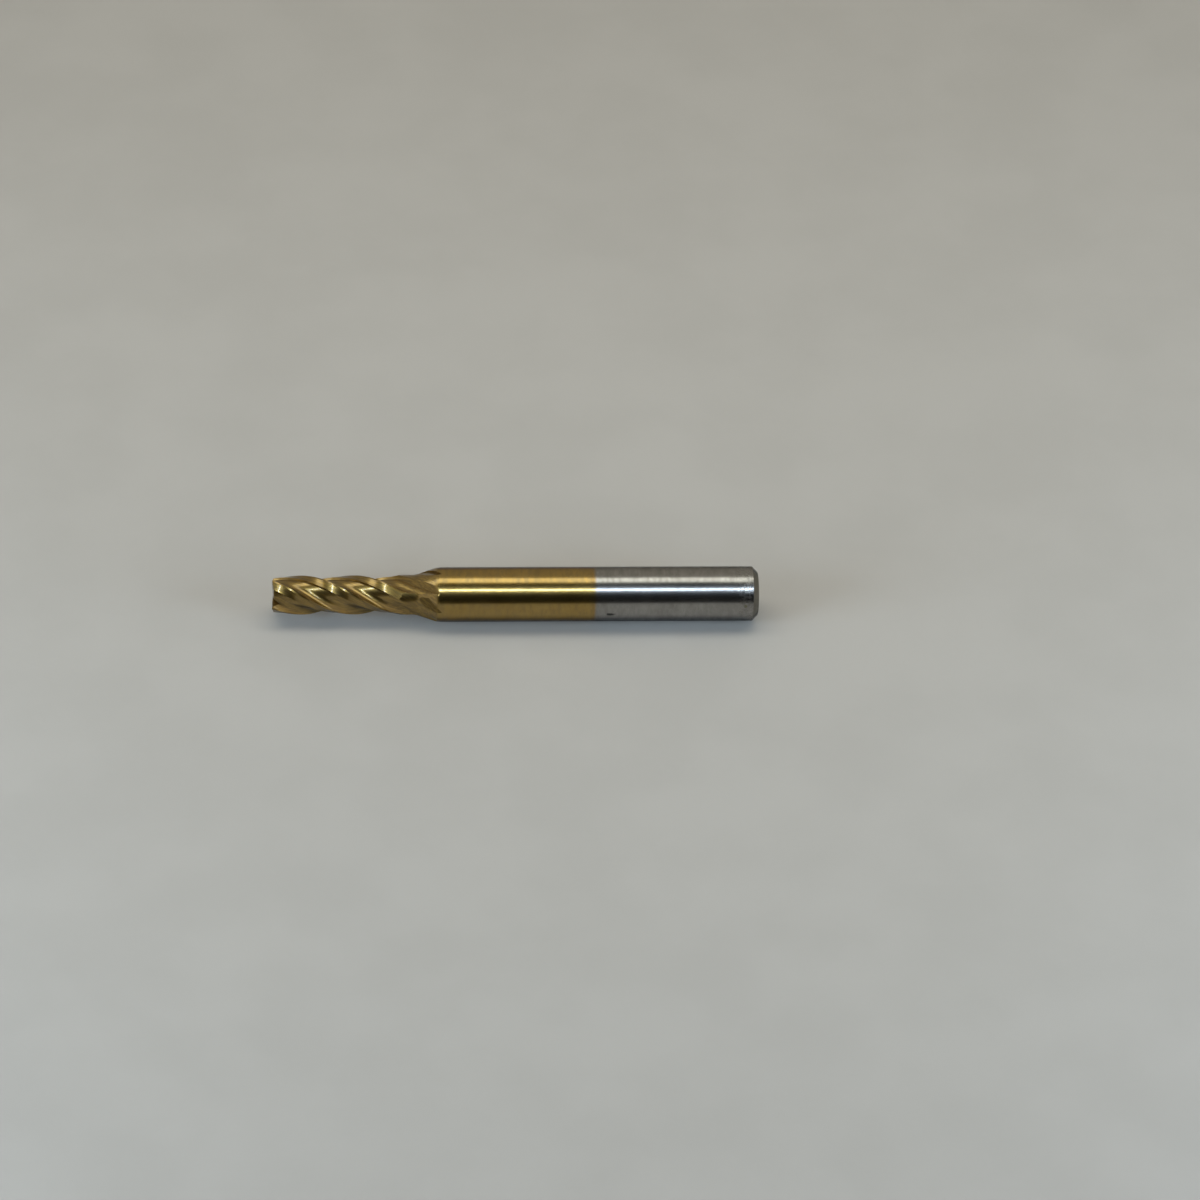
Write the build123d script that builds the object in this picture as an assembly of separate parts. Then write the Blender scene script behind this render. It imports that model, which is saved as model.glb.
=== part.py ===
"""A right-hand, four-flute, square-end end mill, ground from one piece of tool steel.

The tool stands on the flat end of its shank: the origin is the centre of that end, and +Z runs
along the axis to the cutting end. One corner of the cutting end lies on +X.
"""

from math import atan2, ceil, cos, degrees, radians, sin, sqrt, tan
import os

from build123d import *

# Blank, turned and ground round
overall_length = 53.2
shank_diameter = 6.0
shank_length = 35.1
shank_chamfer = 0.6
neck_diameter = 4.36
neck_cone_half_angle = 18.5
neck_cone_blend_radius = 2.5

# Teeth, in the section square to the axis
cutter_diameter = 4.28
flute_count = 4
helix_lead = 23.1
rake_angle = -13.0
primary_land_width = 0.2
primary_relief_angle = 9.0
secondary_land_width = 0.86
secondary_relief_angle = 29.0

# Flute space between one cutting edge and the heel of the next tooth
rake_width = 0.1
gullet_radius = 1.1
gullet_wrap_angle = 8.0
heel_wall_depth = 0.29
heel_wall_lean = 18.0

# Grinding wheels, and how far short of the shank each one stops and lifts out of the work
flute_wheel_radius = 37.5
flute_wheel_swivel = 33.4
flute_wheel_angle = 37.0
flute_wheel_clearance = 4.3
relief_wheel_radius = 12.0
relief_wheel_swivel = 30.2
relief_wheel_angle = -20.0
relief_wheel_clearance = 5.4

# The flat that the relief wheel's flank leaves on the cone, one to a tooth
mark_clearance = 0.95
mark_lead_angle = 10.0
mark_width = 1.35
mark_length = 1.8
mark_slant = 41.0
mark_depth = 0.14
mark_lean = 11.0
mark_tilt = 10.0

# Cutting end
end_dish_angle = 2.0
end_relief_angle = 7.0
gash_start_radius = 0.25
gash_slope_angle = 32.0
gash_opening_angle = 50.0
centre_hole_diameter = 0.8
centre_hole_depth = 0.5
centre_hole_point_angle = 60.0

# How finely the cuts are drawn, and how far they reach past the metal
station_turn = 15.0
run_out_stations = 6
overlap = 0.12
air = 0.6

shank_radius = shank_diameter / 2
neck_radius = neck_diameter / 2
cutter_radius = cutter_diameter / 2
tooth_pitch = 360.0 / flute_count
flute_wheel_stop = shank_length + flute_wheel_clearance
relief_wheel_stop = shank_length + relief_wheel_clearance
mark_height = shank_length + mark_clearance
air_radius = shank_radius + air


def along(angle, length=1.0):
    """The vector of this length at an angle in the section, measured from +X."""
    return Vector(length * cos(radians(angle)), length * sin(radians(angle)))


def helix_turn(height):
    """How far a cutting edge has turned round the axis at this height, from its corner."""
    return (height - overall_length) / helix_lead * 360


def turned_blank():
    """The round blank: chamfered shank, cone down to the neck, and the cutting length."""
    cone_length = (shank_radius - neck_radius) / tan(radians(neck_cone_half_angle))
    cone_start = Vector(shank_radius, shank_length)
    cone_end = Vector(neck_radius, shank_length + cone_length)
    outline = Polyline(
        (0, 0),
        (shank_radius - shank_chamfer, 0),
        (shank_radius, shank_chamfer),
        cone_start,
        cone_end,
        (neck_radius, overall_length),
        (0, overall_length),
        close=True,
    )
    profile = make_face(outline)
    cone_corners = [
        corner
        for corner in profile.vertices()
        if corner.X > neck_radius - overlap and shank_length - overlap < corner.Y < cone_end.Y + overlap
    ]
    profile = fillet(cone_corners, neck_cone_blend_radius)
    return revolve(Plane.XZ * profile, Axis.Z)


# Corners of one tooth in its own section, where its cutting edge lies on +X
edge = Vector(cutter_radius, 0)
land_step = edge + along(-90 - primary_relief_angle, primary_land_width)
heel = land_step + along(-90 - secondary_relief_angle, secondary_land_width)
wall_foot = heel - along(-heel_wall_lean, heel_wall_depth)


def flute_section():
    """What the flute wheel clears: rake face, hollow gullet, round back and the next heel's wall."""
    rake_foot = edge - along(rake_angle, rake_width)
    centre = rake_foot + along(90 + rake_angle, gullet_radius)
    arc_start = 270 + rake_angle
    arc_end = 180 + degrees(atan2(centre.Y, centre.X)) - gullet_wrap_angle
    gullet = CenterArc(centre, gullet_radius, arc_start, arc_end - arc_start)
    next_foot = wall_foot.rotate(Axis.Z, tooth_pitch)
    back = TangentArc(gullet @ 1, next_foot, tangent=gullet % 1)
    next_wall_top = next_foot + along(tooth_pitch - heel_wall_lean, air_radius)
    rake_top = edge + along(rake_angle, air_radius)
    corner = along(tooth_pitch / 2, 2 * air_radius)
    outside = Polyline(next_foot, next_wall_top, corner, rake_top, rake_foot)
    return make_face([gullet, back, outside])


def relief_section():
    """What the relief wheel clears: the primary land and the wider secondary land behind it."""
    edge_side = edge + along(90 - primary_relief_angle, overlap)
    heel_side = heel + along(-90 - secondary_relief_angle, overlap)
    outline = Polyline(
        edge_side,
        land_step,
        heel_side,
        heel_side + along(0, air_radius),
        edge_side + along(0, air_radius),
        close=True,
    )
    return make_face(outline)


def wheel_path(section, stop, wheel_angle, wheel_swivel, wheel_radius):
    """The solid that a wheel clears: a helix from the cutting end to its stop, then a straight
    run-out in the wheel's own plane, where the wheel's curve lifts it out of the work."""
    helix_length = overall_length + air - stop
    helix_stations = ceil(helix_length / helix_lead * 360 / station_turn)
    slide = tan(radians(wheel_swivel))
    out_length = (shank_radius + cutter_radius) / slide
    sections = []
    for i in range(helix_stations):
        z = overall_length + air - helix_length * i / helix_stations
        sections.append(Location((0, 0, z), (0, 0, helix_turn(z))) * section)
    for i in range(run_out_stations + 1):
        s = out_length * i / run_out_stations
        run = s * sqrt(1 + slide**2)
        lift = wheel_radius - sqrt(wheel_radius**2 - run**2)
        shift = along(wheel_angle, lift) + along(wheel_angle - 90, s * slide)
        sections.append(Location((0, 0, stop - s), (0, 0, helix_turn(stop))) * Pos(shift) * section)
    return loft(sections)


def around(solid):
    """One copy of a cut for each flute."""
    return [Rot(0, 0, i * tooth_pitch) * solid for i in range(flute_count)]


def wheel_mark():
    """The slanting flat that one relief pass leaves on the cone."""
    cone_radius = shank_radius - (mark_height - shank_length) * tan(radians(neck_cone_half_angle))
    half = mark_length / 2
    shift = half * tan(radians(mark_slant))
    outline = Polyline(
        (half, shift + mark_width / 2),
        (half, shift - mark_width / 2),
        (-half, -shift - mark_width / 2),
        (-half, -shift + mark_width / 2),
        close=True,
    )
    ground_off = extrude(Plane.YZ * make_face(outline), air_radius)
    turn = helix_turn(mark_height) + mark_lead_angle
    place = Location((0, 0, mark_height), (0, 0, turn)) * Pos(cone_radius - mark_depth, 0, 0)
    return place * Rot(0, 0, mark_lean) * Rot(0, -mark_tilt, 0) * ground_off


def end_relief():
    """What is ground off behind one end cutting edge, from that edge to the next tooth's."""
    edge_direction = Vector(cos(radians(end_dish_angle)), 0, sin(radians(end_dish_angle)))
    fall_direction = Vector(0, -cos(radians(end_relief_angle)), -sin(radians(end_relief_angle)))
    corner = Vector(cutter_radius, 0, overall_length)
    face = Plane(origin=corner, x_dir=edge_direction, z_dir=fall_direction.cross(edge_direction))
    ground_off = extrude(face * Rectangle(4 * air_radius, 4 * air_radius), air_radius)
    quadrant = Box(air_radius, air_radius, air_radius, align=(Align.MIN, Align.MAX, Align.CENTER))
    return ground_off & Pos(0, 0, overall_length) * quadrant


def gash():
    """The notch ahead of one end cutting edge: it deepens outward into the flute."""
    start = Vector(gash_start_radius, 0, overall_length)
    slope = Vector(cos(radians(gash_slope_angle)), 0, -sin(radians(gash_slope_angle)))
    across = Plane(origin=start, x_dir=(0, 1, 0), z_dir=slope)
    reach = 2 * air_radius
    opening = Polyline(
        (0, 0),
        (0, reach),
        (reach * tan(radians(gash_opening_angle)), reach),
        close=True,
    )
    return extrude(across * make_face(opening), reach)


def centre_hole():
    """The centre drilled in the cutting end, which the tool was ground from."""
    radius = centre_hole_diameter / 2
    point = radius / tan(radians(centre_hole_point_angle / 2))
    outline = Polyline(
        (0, overall_length - centre_hole_depth - point),
        (radius, overall_length - centre_hole_depth),
        (radius, overall_length + air),
        (0, overall_length + air),
        close=True,
    )
    return revolve(Plane.XZ * make_face(outline), Axis.Z)


blank = turned_blank()
flute_cut = wheel_path(
    flute_section(), flute_wheel_stop, flute_wheel_angle, flute_wheel_swivel, flute_wheel_radius
)
relief_cut = wheel_path(
    relief_section(), relief_wheel_stop, relief_wheel_angle, relief_wheel_swivel, relief_wheel_radius
)
end_mill = blank - around(flute_cut) - around(relief_cut)
end_mill = end_mill - around(wheel_mark())
end_mill = end_mill - around(end_relief()) - around(gash()) - centre_hole()

os.makedirs("parts", exist_ok=True)
export_step(end_mill, "parts/end_mill.step")
print("volume", end_mill.volume, "solids", len(end_mill.solids()))
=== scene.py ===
"""A small end mill lying on a pale table: bare shank to the right, gold cutting end to the left."""

import math

import bpy
from mathutils import Matrix, Vector

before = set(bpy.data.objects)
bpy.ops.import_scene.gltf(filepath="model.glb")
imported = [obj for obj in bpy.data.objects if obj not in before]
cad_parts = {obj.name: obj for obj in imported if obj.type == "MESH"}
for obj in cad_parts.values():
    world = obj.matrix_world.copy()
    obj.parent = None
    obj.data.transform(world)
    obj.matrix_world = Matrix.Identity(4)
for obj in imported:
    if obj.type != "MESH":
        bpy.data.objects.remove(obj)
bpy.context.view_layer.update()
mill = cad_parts["end_mill"]

MM = 0.001
UP = Vector((0, 0, 1))

# The tool stands along +Z in its own frame, so the table is upright here and the camera is turned
# on its side. In the picture the tool lies with its cutting end to the left. Places in the picture
# are in pixels.
VIEW_AZIMUTH = math.radians(40.6)
TABLE_ELEVATION = math.radians(38.5)
TIP_LEAN = math.radians(4.0)
ROLL = 0.0036
FOCAL_PIXELS = 6000.0
PIXELS_PER_MM = 9.12
IMAGE_PIXELS = 1200.0
SHANK_END_X = 757.3
AXIS_ABOVE_MIDDLE = 6.0
SENSOR_WIDTH = 36.0

# Sizes of the tool that its finish follows, in millimetres
SHANK_RADIUS = 3.0
CHAMFER_TOP = 0.62
COATING_END = 18.0
FLUTES_END = 35.2
HELIX_LEAD = 23.1

# Lamps and table, with lengths in millimetres
LAMP_DISTANCE = 300.0
END_LAMP_HEIGHT = 25.0
END_LAMP_ANGLE = math.radians(-12.0)
END_LAMP_SPREAD = 0.55
TABLE_HALF_SIZE = 400.0

# The dark side of the room, which only the metal mirrors, on a sphere of radius 1 round the tool
DARK_SIDE_ANGLE = math.radians(6.0)
DARK_SIDE_RADIUS = 0.78
DARK_SIDE_EDGE = 0.95
DARK_SIDE_FLATTENING = 1.7

# Colours of the lamps, as linear red, green and blue
WARM_LAMP = (0.97, 1, 0.92)
WHITE_LAMP = (0.66, 0.81, 1)
CEILING_LIGHT = (1, 0.85, 0.62)
BACK_LIGHT = (1, 0.95, 0.8)
ROOM_LIGHT = (1, 0.73, 0.48)
WINDOW = (0.72, 0.86, 1)
WALL = (1, 0.98, 0.95)

# Colours of the surfaces and the room, as linear red, green, blue and alpha
GOLD = (0.345, 0.22, 0.052, 1)
GOLD_LIGHTER = (0.385, 0.252, 0.067, 1)
GOLD_AT_EDGE = (0.3, 0.18, 0.05, 1)
GOLD_STREAK = (0.13, 0.088, 0.034, 1)
STEEL = (0.27, 0.257, 0.24, 1)
STEEL_LIGHTER = (0.33, 0.317, 0.298, 1)
DULL_CHAMFER = (0.13, 0.12, 0.09, 1)
SCUFF = (0.17, 0.165, 0.15, 1)
WORN_RING = (0.1, 0.085, 0.06, 1)
STAIN = (0.12, 0.12, 0.03, 1)
FLECK = (0.02, 0.02, 0.018, 1)
TABLE = (0.425, 0.415, 0.395, 1)
TABLE_LIGHTER = (0.445, 0.435, 0.415, 1)
BACKGROUND = (0.4, 0.38, 0.325, 1)
DARK_SIDE = (0.004, 0.0045, 0.0045, 1)

# Square to the axis: toward the camera, and up in the picture
toward = Vector((-math.cos(VIEW_AZIMUTH), -math.sin(VIEW_AZIMUTH), 0))
upward = UP.cross(toward)


def side(angle):
    """The direction square to the axis, so many radians up from the camera's direction."""
    return math.cos(angle) * toward + math.sin(angle) * upward


def frame_matrix(x_axis, y_axis, z_axis, place):
    """The matrix of an object with these axes at this place."""
    matrix = Matrix((x_axis, y_axis, z_axis)).transposed().to_4x4()
    matrix.translation = place
    return matrix


def make_camera():
    """A long lens, leaning a little toward the cutting end."""
    back = math.cos(TIP_LEAN) * toward + math.sin(TIP_LEAN) * UP
    right = math.sin(TIP_LEAN) * toward - math.cos(TIP_LEAN) * UP
    image_up = (upward + right * ROLL).normalized()
    image_right = (right - upward * ROLL).normalized()
    middle_height = (SHANK_END_X - IMAGE_PIXELS / 2) / (PIXELS_PER_MM * math.cos(TIP_LEAN))
    aim = UP * middle_height - image_up * (AXIS_ABOVE_MIDDLE / PIXELS_PER_MM)
    distance = FOCAL_PIXELS / PIXELS_PER_MM
    data = bpy.data.cameras.new("camera")
    data.sensor_width = SENSOR_WIDTH
    data.lens = SENSOR_WIDTH * FOCAL_PIXELS / IMAGE_PIXELS
    data.clip_start = 10 * MM
    camera = bpy.data.objects.new("camera", data)
    camera.matrix_world = frame_matrix(image_right, image_up, back, (aim + back * distance) * MM)
    bpy.context.scene.collection.objects.link(camera)
    bpy.context.scene.camera = camera


def make_lamp(name, direction, height, size, energy, color, mirrored=True, on_table=True):
    """A soft lamp that shines square at this height of the tool, and that no camera sees."""
    data = bpy.data.lights.new(name, "AREA")
    data.shape = "RECTANGLE"
    data.size = size[0] * MM
    data.size_y = size[1] * MM
    data.energy = energy
    data.color = color
    lamp = bpy.data.objects.new(name, data)
    right = UP.cross(direction).normalized()
    place = (UP * height + direction * LAMP_DISTANCE) * MM
    lamp.matrix_world = frame_matrix(right, direction.cross(right), direction, place)
    lamp.visible_camera = False
    lamp.visible_glossy = mirrored
    lamp.visible_diffuse = on_table
    bpy.context.scene.collection.objects.link(lamp)


def make_strip_lamp(name, angle, width, length, energy, color, height=20.0, **seen):
    """A lamp along the tool: its angle up from the camera and its width are in degrees."""
    size = (2 * LAMP_DISTANCE * math.tan(math.radians(width / 2)), length)
    make_lamp(name, side(math.radians(angle)), height, size, energy, color, **seen)


def make_end_lamp(name, end, size, energy, color, **seen):
    """A square lamp low beside the tool's cutting end, 1, or its shank's end, -1."""
    direction = (UP * end + side(END_LAMP_ANGLE) * END_LAMP_SPREAD).normalized()
    make_lamp(name, direction, END_LAMP_HEIGHT, (size, size), energy, color, **seen)


def make_lamps():
    """Long lamps over the tool, windows and pale walls past its ends, and a warm room light."""
    make_strip_lamp("warm_lamp", angle=60.3, width=21.5, length=1000.0, energy=0.74, color=WARM_LAMP)
    make_strip_lamp(
        "white_lamp", angle=17.6, width=3.0, length=270.0, energy=0.42, color=WHITE_LAMP,
        height=70.0, on_table=False,
    )
    make_strip_lamp(
        "ceiling_light", angle=86.0, width=26.0, length=700.0, energy=0.17, color=CEILING_LIGHT,
        mirrored=False,
    )
    make_strip_lamp(
        "back_light", angle=124.0, width=44.0, length=700.0, energy=0.165, color=BACK_LIGHT,
        mirrored=False,
    )
    make_strip_lamp(
        "room_light", angle=55.0, width=30.0, length=400.0, energy=0.17, color=ROOM_LIGHT,
        mirrored=False,
    )
    make_end_lamp("left_window", end=1, size=160.0, energy=1.07, color=WINDOW, mirrored=False)
    make_end_lamp("right_window", end=-1, size=160.0, energy=0.87, color=WINDOW, mirrored=False)
    make_end_lamp("left_wall", end=1, size=380.0, energy=0.17, color=WALL, on_table=False)
    make_end_lamp("right_wall", end=-1, size=380.0, energy=0.13, color=WALL, on_table=False)


class Nodes:
    """Short words for building the nodes of a material or a world."""

    def __init__(self, owner):
        owner.use_nodes = True
        self.tree = owner.node_tree

    def add(self, kind, **settings):
        node = self.tree.nodes.new(kind)
        for key, value in settings.items():
            setattr(node, key, value)
        return node

    def link(self, source, socket):
        self.tree.links.new(source, socket)

    def put(self, value, socket):
        if isinstance(value, bpy.types.NodeSocket):
            self.link(value, socket)
        else:
            socket.default_value = value

    def place(self):
        """The point on the object, in millimetres."""
        point = self.add("ShaderNodeTexCoord").outputs["Object"]
        return self.stretched(point, (1 / MM, 1 / MM, 1 / MM))

    def math(self, operation, *values):
        node = self.add("ShaderNodeMath", operation=operation)
        for value, socket in zip(values, node.inputs):
            self.put(value, socket)
        return node.outputs[0]

    def vector(self, *values):
        node = self.add("ShaderNodeCombineXYZ")
        for value, socket in zip(values, node.inputs):
            self.put(value, socket)
        return node.outputs[0]

    def split(self, vector):
        node = self.add("ShaderNodeSeparateXYZ")
        self.link(vector, node.inputs[0])
        return node.outputs

    def stretched(self, vector, factors):
        node = self.add("ShaderNodeVectorMath", operation="MULTIPLY")
        self.link(vector, node.inputs[0])
        node.inputs[1].default_value = factors
        return node.outputs["Vector"]

    def distance(self, vector, point):
        node = self.add("ShaderNodeVectorMath", operation="DISTANCE")
        self.link(vector, node.inputs[0])
        node.inputs[1].default_value = point
        return node.outputs["Value"]

    def noise(self, at, scale, detail=3.0, rough=0.55):
        node = self.add("ShaderNodeTexNoise")
        self.link(at, node.inputs["Vector"])
        node.inputs["Scale"].default_value = scale
        node.inputs["Detail"].default_value = detail
        node.inputs["Roughness"].default_value = rough
        return node.outputs["Fac"]

    def fade(self, value, low, high, bottom=0.0, top=1.0, curve="SMOOTHSTEP"):
        """From bottom to top as the value goes from low to high, and level past both."""
        node = self.add("ShaderNodeMapRange", interpolation_type=curve)
        self.put(value, node.inputs["Value"])
        node.inputs["From Min"].default_value = low
        node.inputs["From Max"].default_value = high
        node.inputs["To Min"].default_value = bottom
        node.inputs["To Max"].default_value = top
        return node.outputs["Result"]

    def mix(self, share, first, second):
        node = self.add("ShaderNodeMix", data_type="RGBA")
        self.put(share, node.inputs[0])
        self.put(first, node.inputs[6])
        self.put(second, node.inputs[7])
        return node.outputs[2]


def shank_rings(n, place):
    """Fine rings of the centreless grinding, a little uneven round the shank."""
    return n.noise(n.stretched(place, (0.3, 0.3, 1)), scale=2.0, detail=5.0, rough=0.7)


def flute_lines(n, place):
    """Grinding lines that follow the helix of the flutes."""
    x, y, z = n.split(place)
    turn = n.math("SUBTRACT", n.math("ARCTAN2", y, x), n.math("MULTIPLY", z, math.tau / HELIX_LEAD))
    radius = n.math("SQRT", n.math("ADD", n.math("POWER", x, 2.0), n.math("POWER", y, 2.0)))
    wound_x = n.math("MULTIPLY", n.math("COSINE", turn), radius)
    wound_y = n.math("MULTIPLY", n.math("SINE", turn), radius)
    unwound = n.vector(wound_x, wound_y, n.math("MULTIPLY", z, 0.12))
    return n.noise(unwound, scale=6.0, detail=4.0, rough=0.7)


def shank_spot(n, place, height, angle, reach, stretch=1.0):
    """A ragged spot on the shank: its angle is in degrees up from the camera, and the stretch
    draws it out along the shank."""
    middle = UP * height / stretch + side(math.radians(angle)) * SHANK_RADIUS
    away = n.distance(n.stretched(place, (1, 1, 1 / stretch)), middle)
    ragged = n.math("MULTIPLY", n.noise(place, scale=3.0), reach)
    return n.fade(n.math("ADD", away, ragged), reach * 1.1, reach * 0.8)


def make_steel():
    """Ground steel: gold coated from the cutting end to halfway up the shank, bare below."""
    material = bpy.data.materials.new("tool_steel")
    n = Nodes(material)
    place = n.place()
    height = n.split(place)[2]
    clouds = n.noise(place, scale=0.5, detail=4.0, rough=0.6)
    cloudy = n.fade(clouds, 0.3, 0.7)
    fluted = n.fade(height, FLUTES_END - 0.3, FLUTES_END + 0.3)
    rings = shank_rings(n, place)
    lines = flute_lines(n, place)
    grain = n.mix(fluted, rings, lines)

    # The coating, a little darker where it ends, and darker all over in the flutes, most along the
    # grinding lines
    wander = n.math("MULTIPLY", n.math("SUBTRACT", clouds, 0.5), 0.12)
    coated = n.fade(n.math("ADD", height, wander), COATING_END - 0.26, COATING_END + 0.18)
    near_edge = n.fade(height, COATING_END + 0.7, COATING_END)
    # The whole fluted part is darkened a little, and darker still along the grinding lines
    streaks = n.math("MULTIPLY", fluted, n.fade(lines, 0.36, 0.6, 0.14, 0.72))
    gold = n.mix(cloudy, GOLD, GOLD_LIGHTER)
    gold = n.mix(n.math("MULTIPLY", near_edge, 0.6), gold, GOLD_AT_EDGE)
    gold = n.mix(streaks, gold, GOLD_STREAK)

    # Bare steel, with a dull chamfer and scuffs near the end
    chamfer = n.fade(height, CHAMFER_TOP + 0.06, CHAMFER_TOP - 0.06)
    patches = n.fade(n.noise(place, scale=2.6, detail=4.0, rough=0.75), 0.47, 0.6)
    scuffs = n.math("MULTIPLY", n.fade(height, 3.4, 0.8), patches)
    steel = n.mix(cloudy, STEEL, STEEL_LIGHTER)
    steel = n.mix(n.math("MULTIPLY", chamfer, 0.75), steel, DULL_CHAMFER)
    steel = n.mix(n.math("MULTIPLY", scuffs, 0.3), steel, SCUFF)

    # Over both: a stain, rings worn into the plain shank, and a dark fleck
    stain = shank_spot(n, place, height=1.5, angle=-27.7, reach=0.34)
    plain = n.math("SUBTRACT", 1.0, fluted)
    worn = n.math("MULTIPLY", n.fade(rings, 0.4, 0.62), plain)
    fleck = shank_spot(n, place, height=16.3, angle=-48.5, reach=0.4, stretch=2.6)
    color = n.mix(coated, steel, gold)
    color = n.mix(n.math("MULTIPLY", stain, 0.7), color, STAIN)
    color = n.mix(n.math("MULTIPLY", worn, 0.22), color, WORN_RING)
    color = n.mix(fleck, color, FLECK)

    # Metal under a thin clear gloss; its rim is dark on the shank and lighter in the flutes
    shader = n.tree.nodes["Principled BSDF"].inputs
    n.link(color, shader["Base Color"])
    shader["Metallic"].default_value = 1
    rim = n.math("MULTIPLY_ADD", fluted, 0.6, 0.04)
    n.link(n.vector(rim, rim, rim), shader["Specular Tint"])
    shader["Coat Weight"].default_value = 0.65
    shader["Coat Roughness"].default_value = 0.1
    specks = n.noise(place, scale=9.0, detail=2.0, rough=0.5)
    rough = 0.15
    for mark, amount in ((grain, 0.12), (specks, 0.04), (fluted, 0.08), (chamfer, 0.25), (scuffs, 0.12)):
        rough = n.math("MULTIPLY_ADD", mark, amount, rough)
    n.link(rough, shader["Roughness"])
    scratches = n.math("MULTIPLY", scuffs, n.noise(place, scale=7.0, detail=3.0, rough=0.7))
    bump = n.add("ShaderNodeBump")
    bump.inputs["Strength"].default_value = 0.1
    bump.inputs["Distance"].default_value = 0.02 * MM
    n.link(n.math("MULTIPLY_ADD", scratches, 2.5, grain), bump.inputs["Height"])
    n.link(bump.outputs[0], shader["Normal"])
    return material


def make_table_finish():
    """Pale and matt, and see-through from its back, so that the tool shows from there too."""
    material = bpy.data.materials.new("table_top")
    n = Nodes(material)
    clouds = n.noise(n.place(), scale=0.08, detail=3.0, rough=0.5)
    shader = n.tree.nodes["Principled BSDF"]
    n.link(n.mix(n.fade(clouds, 0.3, 0.7), TABLE, TABLE_LIGHTER), shader.inputs["Base Color"])
    shader.inputs["Roughness"].default_value = 0.6
    either = n.add("ShaderNodeMixShader")
    n.link(n.add("ShaderNodeNewGeometry").outputs["Backfacing"], either.inputs[0])
    n.link(shader.outputs[0], either.inputs[1])
    n.link(n.add("ShaderNodeBsdfTransparent").outputs[0], either.inputs[2])
    n.link(either.outputs[0], n.tree.nodes["Material Output"].inputs["Surface"])
    return material


def make_table():
    """The table top that the shank lies on, facing the lamps."""
    outward = side(math.pi / 2 - TABLE_ELEVATION)
    right = UP.cross(outward)
    corners = [
        (right * x + UP * y) * TABLE_HALF_SIZE * MM - outward * SHANK_RADIUS * MM
        for x, y in ((-1, -1), (1, -1), (1, 1), (-1, 1))
    ]
    mesh = bpy.data.meshes.new("table_top")
    mesh.from_pydata(corners, [], [(0, 1, 2, 3)])
    mesh.materials.append(make_table_finish())
    table = bpy.data.objects.new("table_top", mesh)
    bpy.context.scene.collection.objects.link(table)


def make_room():
    """A plain pale background, which metal mirrors too, apart from the dark side of the room."""
    world = bpy.data.worlds.new("room")
    n = Nodes(world)
    ray = n.add("ShaderNodeLightPath").outputs
    direction = n.add("ShaderNodeTexCoord").outputs["Generated"]
    flattened = n.stretched(direction, (1, 1, DARK_SIDE_FLATTENING))
    away = n.distance(flattened, side(DARK_SIDE_ANGLE))
    past_edge = n.fade(away, DARK_SIDE_RADIUS, DARK_SIDE_EDGE, curve="LINEAR")

    # The background adds no light: matt surfaces meet the dark colour in every direction
    mirrored = n.math("MAXIMUM", ray["Is Glossy Ray"], ray["Is Transmission Ray"])
    pale = n.math("MAXIMUM", ray["Is Camera Ray"], n.math("MULTIPLY", mirrored, past_edge))
    n.link(n.mix(pale, DARK_SIDE, BACKGROUND), n.tree.nodes["Background"].inputs["Color"])
    bpy.context.scene.world = world


make_camera()
make_lamps()
mill.data.materials.clear()
mill.data.materials.append(make_steel())
make_table()
make_room()
bpy.context.scene.view_settings.view_transform = "Standard"
